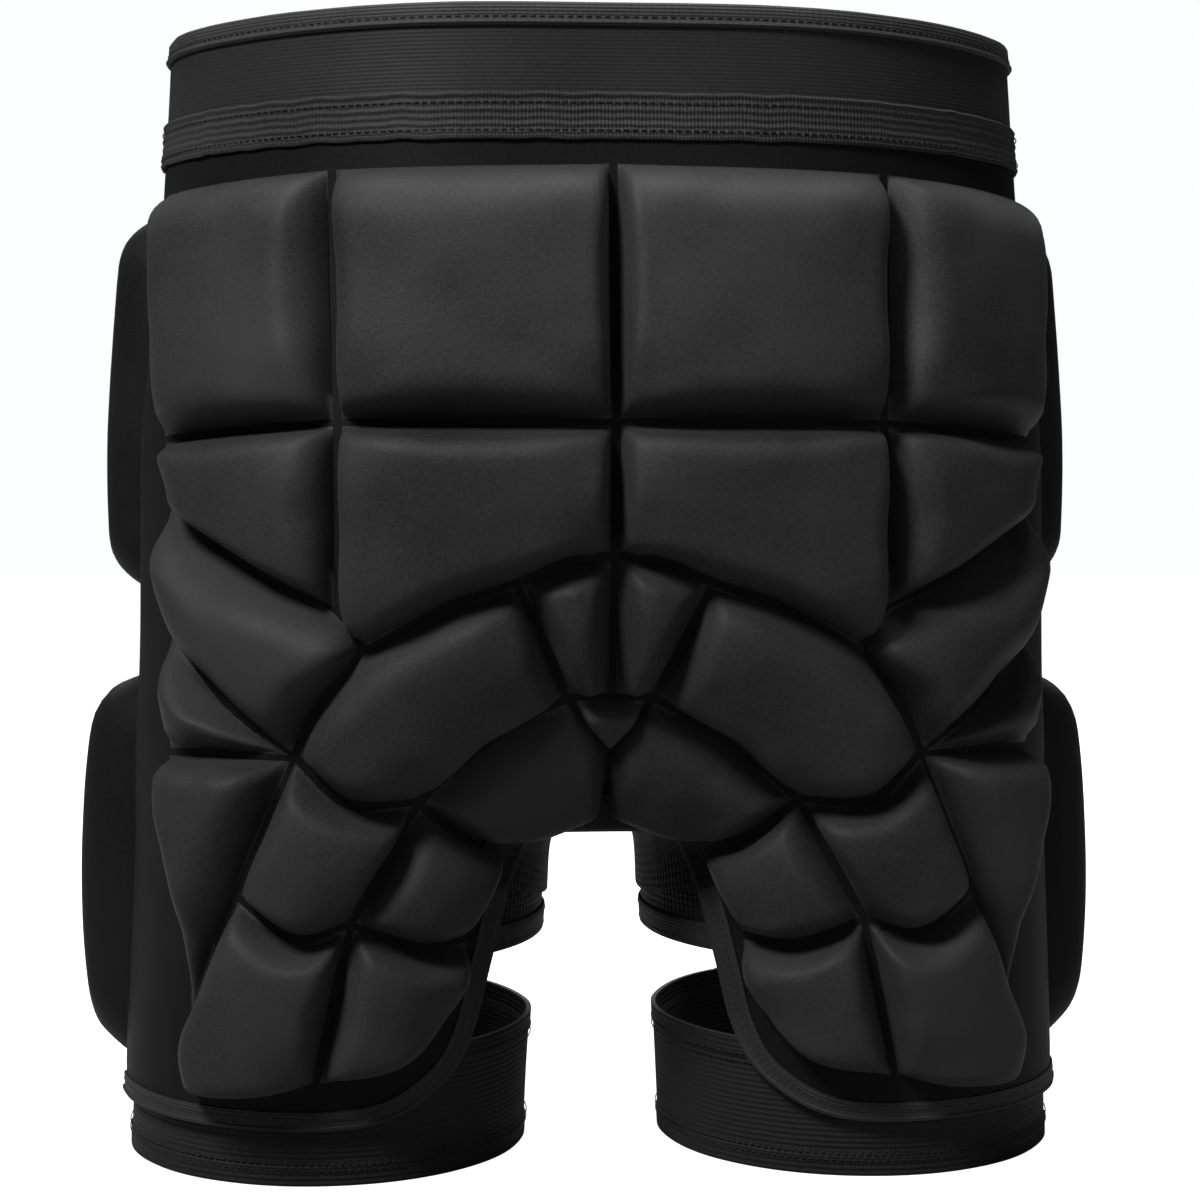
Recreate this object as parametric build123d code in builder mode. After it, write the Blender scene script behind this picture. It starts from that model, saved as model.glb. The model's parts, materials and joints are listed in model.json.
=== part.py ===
"""Padded impact shorts: a stretch garment with a moulded seat pad, side pads, a waistband and two thigh straps.

The garment stands as it is worn. +X is the wearer's right, +Y the front and +Z up. The origin is under the
middle of the garment, on the surface that the thigh straps stand on. All sizes are in millimetres.
"""

import os
from math import cos, degrees, radians, sin

from build123d import *

os.makedirs("parts", exist_ok=True)

# ---- Thicknesses ----------------------------------------------------------------------------------------
fabric = 2.4  # laminated panel cloth, waistband and gusset
layer_gap = 0.3  # between two curved layers, and between pieces that move apart
foam_gap = 0.6  # glue line between a panel and its foam
seat_foam = 15.5  # foam blocks of the seat pad
hip_foam = 15.5
thigh_foam = 21.0
tail_foam = 10.0
tape_thickness = 1.2
binding_thickness = 0.8
strap_thickness = 2.5
loop_tape_thickness = 2.4  # woven loop tape, pile and backing together
hook_pile = 0.8

# ---- Heights --------------------------------------------------------------------------------------------
overall_height = 390.0
waistband_height = 37.0
seam_tape_height = 15.0
waist_binding_height = 8.0
belt_height = waistband_height - 8.0  # the part of the waistband that opens in front
crotch_height = 120.0
leg_seam_height = 122.0  # the front panel ends here, above the gusset and the cloth legs
hem_height = 76.0  # lower edge of the cloth legs, in front and inside
hem_tape_height = 9.0
panel_bottom = 21.0  # lower edge of the seat and side panels
strap_height = 46.0

# ---- Plan positions -------------------------------------------------------------------------------------
rear_edge = -20.0  # where the seat panel meets the side panels
front_edge = 56.0  # where the side panels meet the front panel
side_inner = 100.0  # the side panels lie further out than this
gusset_half_width = 22.0
leg_inner = 10.0  # the cloth legs lie further out than this
gusset_bottom = 98.0  # the gusset turns down into both legs as far as this
tab_root = -70.0  # the waist tab is sewn on here, and hinges here
tab_tip = 30.0
band_end = 36.0  # the other front end of the waistband
loop_tape_left = -52.0
tape_lap = 24.0  # each loop tape is sewn to the fixed band over this length
hook_inset = 5.0  # a hook patch stays this far inside the piece that carries it

# Angles round a thigh: 0 points outwards, 90 to the front and 180 to the other thigh.
flap_root_angle = 118.0
flap_tip_angle = 60.0
strap_end_angle = 56.0
tape_start_angle = 38.0
tape_end_angle = 100.0
hook_inset_angle = 4.0

# ---- Side pads, seen from the side: front to rear, bottom to top, and corner radius ---------------------
side_pad_rear = rear_edge + 2.0
side_pad_front = 50.0
hip_pad_bottom = 195.0
hip_pad_top = 334.0
hip_pad_corner = 22.0
thigh_pad_bottom = 27.0
thigh_pad_top = 173.0
thigh_pad_corner = 26.0
hip_pad_reach = 175.5  # the flat outer face of each side pad, from the middle
thigh_pad_reach = 185.5

# ---- The form that the garment is cut to ----------------------------------------------------------------
forward_shift = 19.6  # brings the middle of the finished garment, front to rear, over the origin
# Each hip station: height, half width, its place to the front, then rear and front, in the middle and
# at the shoulder, which is this far from the middle.
shoulder = 86.0
waist_half_width = 146.0
seat_half_width = 157.0
seat_rear = -123.0
hip_stations = [
    (crotch_height, 160.5, -10.0, -66.0, -99.0, 58.0, 79.0),
    (186.0, 157.5, -14.0, -114.0, -110.0, 86.0, 82.0),
    (250.0, seat_half_width, -14.0, seat_rear, -111.0, 95.0, 84.0),
    (320.0, 150.0, -8.0, -112.0, -99.0, 99.0, 86.0),
    (overall_height, waist_half_width, -3.0, -105.0, -91.0, 99.0, 85.0),
]
# Each thigh station: height, centre to the side, centre to the front, half width, half depth.
thigh_stations = [
    (0.0, 95.5, -5.0, 71.5, 75.0),
    (60.0, 92.5, -7.0, 71.5, 82.0),
    (crotch_height, 89.5, -10.0, 70.8, 88.5),
]

# ---- Seat pad -------------------------------------------------------------------------------------------
# Seen from behind, on the wearer's right: distance from the middle, and height. The left is its mirror.
groove = 3.0  # flat channel between two foam blocks
pad_margin = 0.5 * groove
lobe_edge = [(27, 114), (35, 90), (41, 68), (45, 52), (52, 38), (64, 28), (88, panel_bottom)]
lobe_binding_width = 6.0
top_mid, top_seam, top_outer = (0, 339), (90, 338), (152, 336)
belt_mid, belt_seam, belt_outer = (0, 255), (88, 255), (152, 250)
arch_top, arch_fan, arch_wing, arch_hip = (0, 213), (31, 204), (80, 182.5), (103, 147)
wing_seam, wing_top, wing_split, wing_bottom = (88, 195), (151, 231), (152, 187), (152, 146)
wing_bend = (127, 165)
tail_seam, tail_tip, crotch_mid = (14, 166), (0, 148), (0, 121)
fork, fork_inner, fork_bend = (63, 131), (32, 114), (86, 131)
knee, knee_inner, knee_outer, knee_bend = (85, 91), (46, 83), (122.5, 101), (103, 86)
side_bulge, side_tip = (151, 112), (139, 52)
low_outer, low_seam, low_bend, low_curve = (139, 30), (97, 36), (69, 42), (53, 60)

seat_blocks = {
    "upper_inner": [top_mid, top_seam, belt_seam, belt_mid],
    "upper_outer": [top_seam, top_outer, belt_outer, belt_seam],
    "middle_inner": [belt_mid, belt_seam, wing_seam, arch_wing, arch_fan, arch_top],
    "middle_outer": [belt_seam, belt_outer, wing_top, wing_seam],
    "wing_upper": [arch_wing, wing_seam, wing_top, wing_split, wing_bend, arch_hip],
    "wing_lower": [arch_hip, wing_bend, wing_split, wing_bottom],
    "arch_inner": [arch_top, arch_fan, tail_seam, (0, tail_seam[1])],
    "arch_outer": [arch_fan, arch_wing, arch_hip, fork_bend, fork, tail_seam],
    "crotch": [tail_seam, fork, fork_inner, crotch_mid, tail_tip],
    "thigh_middle_outer": [arch_hip, knee_outer, knee_bend, knee, fork, fork_bend],
    "thigh_middle_inner": [fork, knee, knee_inner, fork_inner],
    "thigh_lower_outer": [knee_outer, side_tip, low_outer, low_seam, knee, knee_bend],
    "thigh_lower_inner": [knee, low_seam, low_bend, low_curve, knee_inner],
    "thigh_side": [arch_hip, wing_bottom, side_bulge, side_tip, knee_outer],
}
tail_block_half_width = 10.0

# ---- Worked out from the sizes above --------------------------------------------------------------------
far = 2 * overall_height  # reaches past the whole garment
panel_top = overall_height - waistband_height
belt_bottom = overall_height - belt_height
foam_inside = fabric + foam_gap
trim_inside = fabric + layer_gap
strap_outside = -layer_gap
strap_inside = strap_outside - strap_thickness
everywhere = (-far, far)
ahead = (0, far)


# ---- Solids of the form ---------------------------------------------------------------------------------
def hip_form(grow):
    """The hips from the crotch to the top of the waistband, grown outwards."""
    with BuildPart() as form:
        for number, (height, half_width, side, rear, rear_in, front, front_in) in enumerate(hip_stations):
            drop = grow if number == 0 else 0
            with BuildSketch(Plane.XY.offset(height - drop)):
                with BuildLine():
                    Spline(
                        (0, rear - grow),
                        (shoulder, rear_in - grow),
                        (half_width + grow, side),
                        (shoulder, front_in + grow),
                        (0, front + grow),
                        tangents=[(1, 0), (-1, 0)],
                    )
                    mirror(about=Plane.YZ)
                make_face()
        loft(ruled=True)
    return form.part


def thigh_form(side, grow):
    """One thigh, from the bottom of its strap to the crotch, grown outwards."""
    with BuildPart() as form:
        for height, centre, forward, half_width, half_depth in thigh_stations:
            with BuildSketch(Plane.XY.offset(height)):
                with Locations((side * centre, forward)):
                    Ellipse(half_width + grow, half_depth + grow)
        loft(ruled=True)
    return form.part


def whole_form(grow):
    """The solids that make up the whole form, grown outwards."""
    return [hip_form(grow), thigh_form(1, grow), thigh_form(-1, grow)]


def whole_layer(inside, outside):
    """The inner and outer solids of a wall round the whole form."""
    return whole_form(inside), whole_form(outside)


def hip_layer(inside, outside):
    """The inner and outer solids of a wall round the hips."""
    return [hip_form(inside)], [hip_form(outside)]


def thigh_layer(inside, outside):
    """The inner and outer solids of a wall round the right thigh."""
    return [thigh_form(1, inside)], [thigh_form(1, outside)]


# ---- Zones that pieces are cut from ---------------------------------------------------------------------
def slab(x_range, y_range, z_range):
    """A box between the given limits along each axis."""
    limits = (x_range, y_range, z_range)
    with BuildPart() as block:
        with Locations(tuple(sum(limit) / 2 for limit in limits)):
            Box(*(high - low for low, high in limits))
    return block.part


def thigh_wedge(start, end, low=0.0, high=strap_height):
    """A sector round the right thigh's axis, between two heights."""
    height, centre, forward, *_ = thigh_stations[0]
    angles = [radians(start + (end - start) * step / 4) for step in range(5)]
    with BuildPart() as wedge:
        with BuildSketch(Plane.XY.offset(low)):
            with BuildLine():
                Polyline(
                    (centre, forward),
                    *[(centre + far * cos(angle), forward + far * sin(angle)) for angle in angles],
                    close=True,
                )
            make_face()
        extrude(amount=high - low)
    return wedge.part


def rear_prism(points, inset=0.0):
    """An outline seen from behind, carried from the edge of the seat panel to the rear."""
    with BuildPart() as prism:
        with BuildSketch(Plane.XZ.offset(-rear_edge)):
            with BuildLine():
                Polyline(*points, close=True)
            make_face()
            if inset:
                offset(amount=-inset, kind=Kind.INTERSECTION)
        extrude(amount=far)
    return prism.part


def side_prism(bottom, top, corner, reach):
    """The rounded outline of a right side pad, seen from the side, out to its flat face."""
    with BuildPart() as prism:
        with BuildSketch(Plane.YZ.offset(side_inner)):
            with Locations(((side_pad_rear + side_pad_front) / 2, (bottom + top) / 2)):
                RectangleRounded(side_pad_front - side_pad_rear, top - bottom, corner)
        extrude(amount=reach - side_inner)
    return prism.part


def piece_of(layer, zone, remove=()):
    """The stretch of a wall that lies in the zone and outside every solid to remove."""
    inner, outer = layer
    overlaps = [form.intersect(zone) for form in outer]
    with BuildPart() as piece:
        for overlap in overlaps:
            if overlap:
                add(overlap)
        for form in (*inner, *remove):
            add(form, mode=Mode.SUBTRACT)
    return piece.part


def save(name, *solids):
    """Joins the solids of one piece and writes them under its name."""
    with BuildPart() as piece:
        with Locations((0, forward_shift, 0)):
            for solid in solids:
                add(solid)
    piece.part.label = name
    export_step(piece.part, f"parts/{name}.step")


def save_pair(name, *solids):
    """Writes a piece for the wearer's right side, and its mirror image for the left."""
    save(f"{name}_right", *solids)
    save(f"{name}_left", *(solid.mirror(Plane.YZ) for solid in solids))


# ---- Cloth panels ---------------------------------------------------------------------------------------
cloth = whole_layer(0, fabric)
right_half = [(0, panel_top), (far, panel_top), (far, panel_bottom), *reversed(lobe_edge), (0, lobe_edge[0][1])]
right_seat_zone = rear_prism(right_half)
gusset_zone = slab((-gusset_half_width, gusset_half_width), everywhere, (gusset_bottom, leg_seam_height))
side_zone = slab((side_inner, far), (rear_edge, front_edge), (panel_bottom, panel_top))
leg_zone = slab((leg_inner, far), everywhere, (hem_height, leg_seam_height))
hem_zone = slab((leg_inner, far), everywhere, (hem_height, hem_height + hem_tape_height))
with BuildPart() as seat_zone:
    add(right_seat_zone)
    mirror(about=Plane.YZ)

save("seat_panel", piece_of(cloth, seat_zone.part, [gusset_zone]))
save("crotch_gusset", piece_of(cloth, gusset_zone))
save("front_panel", piece_of(cloth, slab(everywhere, (front_edge, far), (leg_seam_height, panel_top))))
save_pair("side_panel", piece_of(cloth, side_zone))
save_pair("inner_leg", piece_of(cloth, leg_zone, [gusset_zone, right_seat_zone, side_zone]))

# ---- Bindings of the cloth legs, and of the seat panel's lower edge -------------------------------------
trim = thigh_layer(trim_inside, trim_inside + binding_thickness)
inside_binding = rear_prism(right_half, lobe_binding_width)
above_legs = slab(everywhere, everywhere, (lobe_edge[0][1] - fabric, far))
save_pair("leg_hem", piece_of(trim, hem_zone, [right_seat_zone, side_zone]))
save_pair("panel_binding", piece_of(trim, right_seat_zone, [inside_binding, above_legs]))

# ---- Seat pad blocks ------------------------------------------------------------------------------------
foam = whole_layer(foam_inside, foam_inside + seat_foam)
for block, outline in seat_blocks.items():
    save_pair(f"seat_block_{block}", piece_of(foam, rear_prism(outline, pad_margin)))
tail_shoulder = tail_seam[1] - groove
tail_outline = [(-tail_block_half_width, tail_shoulder), (tail_block_half_width, tail_shoulder), tail_tip]
tail_layer = whole_layer(foam_inside, foam_inside + tail_foam)
save("seat_block_tail", piece_of(tail_layer, rear_prism(tail_outline)))

# ---- Side pads ------------------------------------------------------------------------------------------
for name, thickness, *outline in (
    ("hip_pad", hip_foam, hip_pad_bottom, hip_pad_top, hip_pad_corner, hip_pad_reach),
    ("thigh_pad", thigh_foam, thigh_pad_bottom, thigh_pad_top, thigh_pad_corner, thigh_pad_reach),
):
    save_pair(name, piece_of(whole_layer(foam_inside, foam_inside + thickness), side_prism(*outline)))

# ---- Waistband and its front closure --------------------------------------------------------------------
band_top = overall_height - binding_thickness
binding_bottom = overall_height - waist_binding_height
belt_rise = (belt_bottom, binding_bottom - layer_gap)
binding_rise = (binding_bottom, overall_height)
seam_tape_rise = (panel_top - seam_tape_height / 2, panel_top + seam_tape_height / 2)
window = slab((tab_root, band_end), ahead, (belt_bottom - layer_gap, far))
band = hip_layer(0, fabric)
wrap = hip_layer(-binding_thickness, fabric + binding_thickness)
seam_tape = hip_layer(trim_inside, trim_inside + tape_thickness)
band_core = piece_of(band, slab(everywhere, everywhere, (0, band_top)))
save("waistband", piece_of(band, slab(everywhere, everywhere, (panel_top, band_top)), [window]))
save("waist_binding", piece_of(wrap, slab(everywhere, everywhere, binding_rise), [band_core, window]))
save("waist_seam_tape", piece_of(seam_tape, slab(everywhere, everywhere, seam_tape_rise)))

tab_range = (tab_root + layer_gap, tab_tip)
hook_range = (loop_tape_left + hook_inset, tab_tip - hook_inset)
save("waist_tab", piece_of(band, slab(tab_range, ahead, (belt_bottom, band_top))))
save("waist_tab_binding", piece_of(wrap, slab(tab_range, ahead, binding_rise), [band_core]))
save("waist_hook_patch", piece_of(hip_layer(-hook_pile, 0), slab(hook_range, ahead, belt_rise)))

tape_outside = -hook_pile - layer_gap
tape = hip_layer(tape_outside - loop_tape_thickness, tape_outside)
lap = hip_layer(tape_outside, 0)
tape_zone = slab((loop_tape_left, band_end + tape_lap), ahead, belt_rise)
lap_zone = slab((band_end, band_end + tape_lap), ahead, belt_rise)
save("waist_loop_tape", piece_of(tape, tape_zone), piece_of(lap, lap_zone))

# ---- Thigh straps and their closures --------------------------------------------------------------------
hook_inside = strap_inside - hook_pile
tape_outside = hook_inside - layer_gap
flap_gap_angle = degrees(layer_gap / thigh_stations[0][4])
hook_rise = (hook_inset, strap_height - hook_inset)
strap = thigh_layer(strap_inside, strap_outside)
hook = thigh_layer(hook_inside, strap_inside)
tape = thigh_layer(tape_outside - loop_tape_thickness, tape_outside)
lap = thigh_layer(tape_outside, strap_inside)
opening = thigh_wedge(strap_end_angle, flap_root_angle)
flap_zone = thigh_wedge(flap_tip_angle, flap_root_angle - flap_gap_angle)
hook_zone = thigh_wedge(flap_tip_angle + hook_inset_angle, tape_end_angle - hook_inset_angle, *hook_rise)
tape_zone = thigh_wedge(tape_start_angle, tape_end_angle)
lap_zone = thigh_wedge(tape_start_angle, strap_end_angle)
save_pair("thigh_strap", piece_of(strap, slab(everywhere, everywhere, (0, strap_height)), [opening]))
save_pair("strap_flap", piece_of(strap, flap_zone))
save_pair("strap_hook_patch", piece_of(hook, hook_zone))
save_pair("strap_loop_tape", piece_of(tape, tape_zone), piece_of(lap, lap_zone))
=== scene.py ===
# Padded impact shorts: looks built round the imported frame. Metres throughout, +X the wearer's right, +Y the front.
import json
from bisect import bisect
from math import atan2, cos, pi, sin, sqrt

import bmesh
import bpy
from mathutils import Matrix, Vector, noise
from mathutils.bvhtree import BVHTree
from mathutils.interpolate import poly_3d_calc


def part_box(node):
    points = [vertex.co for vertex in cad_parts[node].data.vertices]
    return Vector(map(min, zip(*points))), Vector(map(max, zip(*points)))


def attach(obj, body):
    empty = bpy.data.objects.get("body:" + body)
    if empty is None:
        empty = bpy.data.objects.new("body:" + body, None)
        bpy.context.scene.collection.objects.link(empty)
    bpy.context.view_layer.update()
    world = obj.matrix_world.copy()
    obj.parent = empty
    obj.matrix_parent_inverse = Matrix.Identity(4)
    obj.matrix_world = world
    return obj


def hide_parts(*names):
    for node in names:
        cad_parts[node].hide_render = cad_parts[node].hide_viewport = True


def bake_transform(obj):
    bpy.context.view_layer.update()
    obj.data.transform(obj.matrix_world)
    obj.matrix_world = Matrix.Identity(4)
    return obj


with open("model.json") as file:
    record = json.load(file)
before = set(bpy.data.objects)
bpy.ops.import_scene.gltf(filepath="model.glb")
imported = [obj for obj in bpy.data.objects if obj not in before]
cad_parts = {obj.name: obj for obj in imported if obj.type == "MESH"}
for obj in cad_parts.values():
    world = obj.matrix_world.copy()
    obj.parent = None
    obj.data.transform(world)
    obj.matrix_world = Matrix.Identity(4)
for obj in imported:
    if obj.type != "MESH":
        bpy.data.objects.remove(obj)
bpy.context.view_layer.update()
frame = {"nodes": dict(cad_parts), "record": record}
mm = 0.001
nodes = frame["nodes"]
record = frame["record"]
collection = bpy.context.scene.collection

cloth = {"thickness": 2.4, "margin": 0.4}  # panel cloth, and how far its outside stays under the pads
heights = {
    "top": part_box("waist_binding")[1].z / mm,
    "bindingBottom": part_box("waist_binding")[0].z / mm,
    "bandBottom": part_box("waistband")[0].z / mm,
    "panelBottom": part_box("seat_panel")[0].z / mm,
    "hem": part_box("leg_hem_right")[0].z / mm,
    "legSeam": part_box("front_panel")[0].z / mm,
    "strap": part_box("thigh_strap_right")[1].z / mm,
}
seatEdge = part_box("seat_panel")[1].y / mm  # where the seat panel meets the side panels
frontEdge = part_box("front_panel")[0].y / mm


def finish(name, build, material, body="root", replaces=(), slot=None, smooth=0.7):
    # turns a bmesh into a finished piece that rides on its body
    bmesh.ops.recalc_face_normals(build, faces=build.faces)
    mesh = bpy.data.meshes.new(name)
    build.to_mesh(mesh)
    build.free()
    mesh.shade_smooth()
    mesh.set_sharp_from_angle(angle=smooth)
    piece = bpy.data.objects.new(name, mesh)
    collection.objects.link(piece)
    piece.data.materials.append(material)
    if body:
        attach(piece, body)
    if replaces:
        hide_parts(*replaces)
    return piece


# ---- the mannequin that every soft piece is laid on ----
mannequin = {"segments": 120, "voxel": 4.5, "smoothing": 14, "hipStep": 6, "legStep": 6, "legTop": 152}
hipNodes = ["seat_panel", "side_panel_left", "side_panel_right", "front_panel", "waistband", "waist_tab"]
legNodes = ["seat_panel", "side_panel_right", "inner_leg_right", "crotch_gusset", "thigh_strap_right", "strap_flap_right"]


def shellTree(names):
    shell = bmesh.new()
    for name in names:
        shell.from_mesh(nodes[name].data)
    tree = BVHTree.FromBMesh(shell)
    shell.free()
    return tree


def tower(build, tree, centre, levels, reach):
    # rings pressed inwards onto the frame's cloth, bridged and capped into one closed shape
    rings = []
    for source, z in levels:
        place = Matrix.Translation((centre[0] * mm, centre[1] * mm, source * mm))
        ring = bmesh.ops.create_circle(build, segments=mannequin["segments"], radius=reach * mm, matrix=place)["verts"]
        axis = place.translation
        found = []
        for vert in ring:
            hit = tree.ray_cast(vert.co, (axis - vert.co).normalized(), reach * mm)[0]
            found.append(hit is not None)
            if hit:
                vert.co = hit
        good = [v for v, ok in zip(ring, found) if ok]
        for vert, ok in zip(ring, found):
            if not ok:
                near = min(good, key=lambda g: ((g.co - axis).normalized() - (vert.co - axis).normalized()).length)
                vert.co = near.co
        for vert in ring:
            vert.co.z = z * mm
        rings.append([e for e in build.edges if e.verts[0] in ring and e.verts[1] in ring])
    for low, high in zip(rings, rings[1:]):
        bmesh.ops.bridge_loops(build, edges=low + high)
    bmesh.ops.edgeloop_fill(build, edges=rings[0])
    bmesh.ops.edgeloop_fill(build, edges=rings[-1])


def makeMannequin():
    build = bmesh.new()
    hipTree = shellTree(hipNodes)
    legTree = shellTree(legNodes)
    hipLevels = [(126, 118)] + [(z, z) for z in range(132, 388, mannequin["hipStep"])] + [(387, 396)]
    tower(build, hipTree, (0, 5), hipLevels, 260)
    legLevels = [(z, z) for z in range(3, 46, mannequin["legStep"])]
    legLevels += [(z, z) for z in range(79, 112, mannequin["legStep"])] + [(111, mannequin["legTop"])]
    legLevels[0] = (3, -6)
    legBuild = bmesh.new()
    tower(legBuild, legTree, (94, 12), legLevels, 92)
    bmesh.ops.mirror(legBuild, geom=legBuild.verts[:] + legBuild.edges[:] + legBuild.faces[:], axis="X", merge_dist=-1)
    legs = bpy.data.meshes.new("legs")
    legBuild.to_mesh(legs)
    legBuild.free()
    build.from_mesh(legs)
    bpy.data.meshes.remove(legs)
    bmesh.ops.recalc_face_normals(build, faces=build.faces)
    mesh = bpy.data.meshes.new("mannequin")
    build.to_mesh(mesh)
    build.free()
    body = bpy.data.objects.new("mannequin", mesh)
    collection.objects.link(body)
    remesh = body.modifiers.new("remesh", "REMESH")
    remesh.mode = "VOXEL"
    remesh.voxel_size = mannequin["voxel"] * mm
    soften = body.modifiers.new("soften", "SMOOTH")
    soften.factor = 0.5
    soften.iterations = mannequin["smoothing"]
    shape = bpy.data.meshes.new_from_object(body.evaluated_get(bpy.context.evaluated_depsgraph_get()))
    bpy.data.objects.remove(body)
    return shape


form = makeMannequin()
formTree = BVHTree.FromPolygons([v.co for v in form.vertices], [p.vertices for p in form.polygons])
formNormals = [v.normal.copy() for v in form.vertices]
print("mannequin", len(form.polygons), "faces")


def onForm(start, direction, lift):
    # the point where a ray meets the mannequin, lifted along its smooth normal
    hit, flat, index, distance = formTree.ray_cast(start, direction)
    if hit is None:
        hit, flat, index, distance = formTree.find_nearest(start)
    corners = form.polygons[index].vertices
    weights = poly_3d_calc([form.vertices[c].co for c in corners], hit)
    normal = Vector((0, 0, 0))
    for weight, corner in zip(weights, corners):
        normal += weight * formNormals[corner]
    return hit + normal.normalized() * lift * mm


# a place round the garment: u runs from the middle of the rear, round the side, to the middle of the front
roundTrip = {"straight": 92.0, "centre": 5.0, "scale": 80.0, "away": 400.0}
sideTurn = pi * roundTrip["scale"]
frontMiddle = 2 * roundTrip["straight"] + sideTurn


def around(u, z, lift=0.0):
    side = 1 if u >= 0 else -1
    u = abs(u)
    straight, centre, away = roundTrip["straight"], roundTrip["centre"], roundTrip["away"]
    if u <= straight:
        start, direction = (side * u, -away, z), (0, 1, 0)
    elif u <= straight + sideTurn:
        turn = (u - straight) / roundTrip["scale"]
        direction = (-side * sin(turn), cos(turn), 0)
        start = (side * straight - away * direction[0], centre - away * direction[1], z)
    else:
        start, direction = (side * (frontMiddle - u), away, z), (0, -1, 0)
    return onForm(Vector(start) * mm, Vector(direction), lift)


def uAtX(x, z):
    # the place round the rear whose distance from the middle is x
    if abs(x) <= roundTrip["straight"]:
        return x
    low, high = roundTrip["straight"], roundTrip["straight"] + 0.5 * sideTurn
    for step in range(18):
        middle = 0.5 * (low + high)
        if around(middle, z).x / mm < abs(x):
            low = middle
        else:
            high = middle
    return low if x > 0 else -low


def uAtY(y, z):
    # the place round the side whose distance to the front is y
    low, high = roundTrip["straight"], roundTrip["straight"] + sideTurn
    for step in range(18):
        middle = 0.5 * (low + high)
        if around(middle, z).y / mm < y:
            low = middle
        else:
            high = middle
    return low


thigh = {"axis": (94.0, 13.0), "reach": 92.0, "scale": 75.0}


def thighRay(arc, z):
    # arc 0 points outwards from the right thigh, then to the front, the other thigh and the rear
    angle = arc / thigh["scale"]
    direction = Vector((cos(angle), sin(angle), 0))
    axis = Vector((*thigh["axis"], z))
    return (axis + direction * thigh["reach"]) * mm, -direction


def roundThigh(arc, z, lift=0.0):
    return onForm(*thighRay(arc, z), lift)


def nodeSurface(name, ray, inner=False):
    # places on a frame node's own outer face, by the same rays
    tree = shellTree([name])

    def place(a, b, lift=0.0):
        start, direction = ray(a, b)
        hit = tree.ray_cast(start, direction)[0]
        if hit is None:
            hit = tree.find_nearest(start + direction * thigh["reach"] * 0.2 * mm)[0]
        return hit - direction * lift * mm

    return place


# ---- lines and patches ----
def smoothLine(points, steps=10):
    # a curve through given points, as close points with their distance along it
    points = [Vector(p) for p in points]
    if len(points) > 2:
        ends = [2 * points[0] - points[1], *points, 2 * points[-1] - points[-2]]
        line = []
        for a, b, c, d in zip(ends, ends[1:], ends[2:], ends[3:]):
            for step in range(steps):
                t = step / steps
                line.append(0.5 * (2 * b + (c - a) * t + (2 * a - 5 * b + 4 * c - d) * t**2 + (3 * b - a - 3 * c + d) * t**3))
        points = line + [points[-1]]
    travelled = [0.0]
    for a, b in zip(points, points[1:]):
        travelled.append(travelled[-1] + (b - a).length)
    return points, travelled


def along(line, fraction):
    points, travelled = line
    wanted = fraction * travelled[-1]
    number = min(max(bisect(travelled, wanted), 1), len(points) - 1)
    start, end = travelled[number - 1], travelled[number]
    return points[number - 1].lerp(points[number], (wanted - start) / max(end - start, 1e-9))


class Patch:
    # four sides in order: bottom and top run one way, left and right run upwards
    def __init__(self, bottom, top, left, right):
        self.sides = [smoothLine(side) for side in (bottom, top, left, right)]
        bottom, top = self.sides[0][0], self.sides[1][0]
        self.corners = bottom[0], bottom[-1], top[0], top[-1]

    def at(self, s, t):
        bottom, top, left, right = self.sides
        lowLeft, lowRight, highLeft, highRight = self.corners
        ruled = (1 - t) * along(bottom, s) + t * along(top, s) + (1 - s) * along(left, t) + s * along(right, t)
        flat = (1 - s) * ((1 - t) * lowLeft + t * highLeft) + s * ((1 - t) * lowRight + t * highRight)
        return ruled - flat

    def toSides(self, place):
        # distance to each of the four sides
        gaps = []
        for points, travelled in self.sides:
            if travelled[-1] < 1:
                gaps.append(1000.0)
                continue
            gaps.append(min(toSegment(place, a, b) for a, b in zip(points, points[1:])))
        return gaps


def toSegment(place, a, b):
    run = b - a
    t = max(0.0, min(1.0, (place - a).dot(run) / max(run.dot(run), 1e-12)))
    return (place - a - run * t).length


def gridOf(build, columns, rows, place, ease=False):
    # a grid whose vertices go where place(s, t) says; its UV map is in metres across and up
    made = bmesh.ops.create_grid(build, x_segments=columns, y_segments=rows, size=0.5)["verts"]
    where = {}
    for vert in made:
        s, t = vert.co.x + 0.5, vert.co.y + 0.5
        if ease:
            s, t = 0.5 - 0.5 * cos(pi * s), 0.5 - 0.5 * cos(pi * t)
        vert.co, where[vert] = place(s, t)
    layer = build.loops.layers.uv.verify()
    for face in {f for v in made for f in v.link_faces}:
        for loop in face.loops:
            loop[layer].uv = where[loop.vert]
    return made


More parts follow.
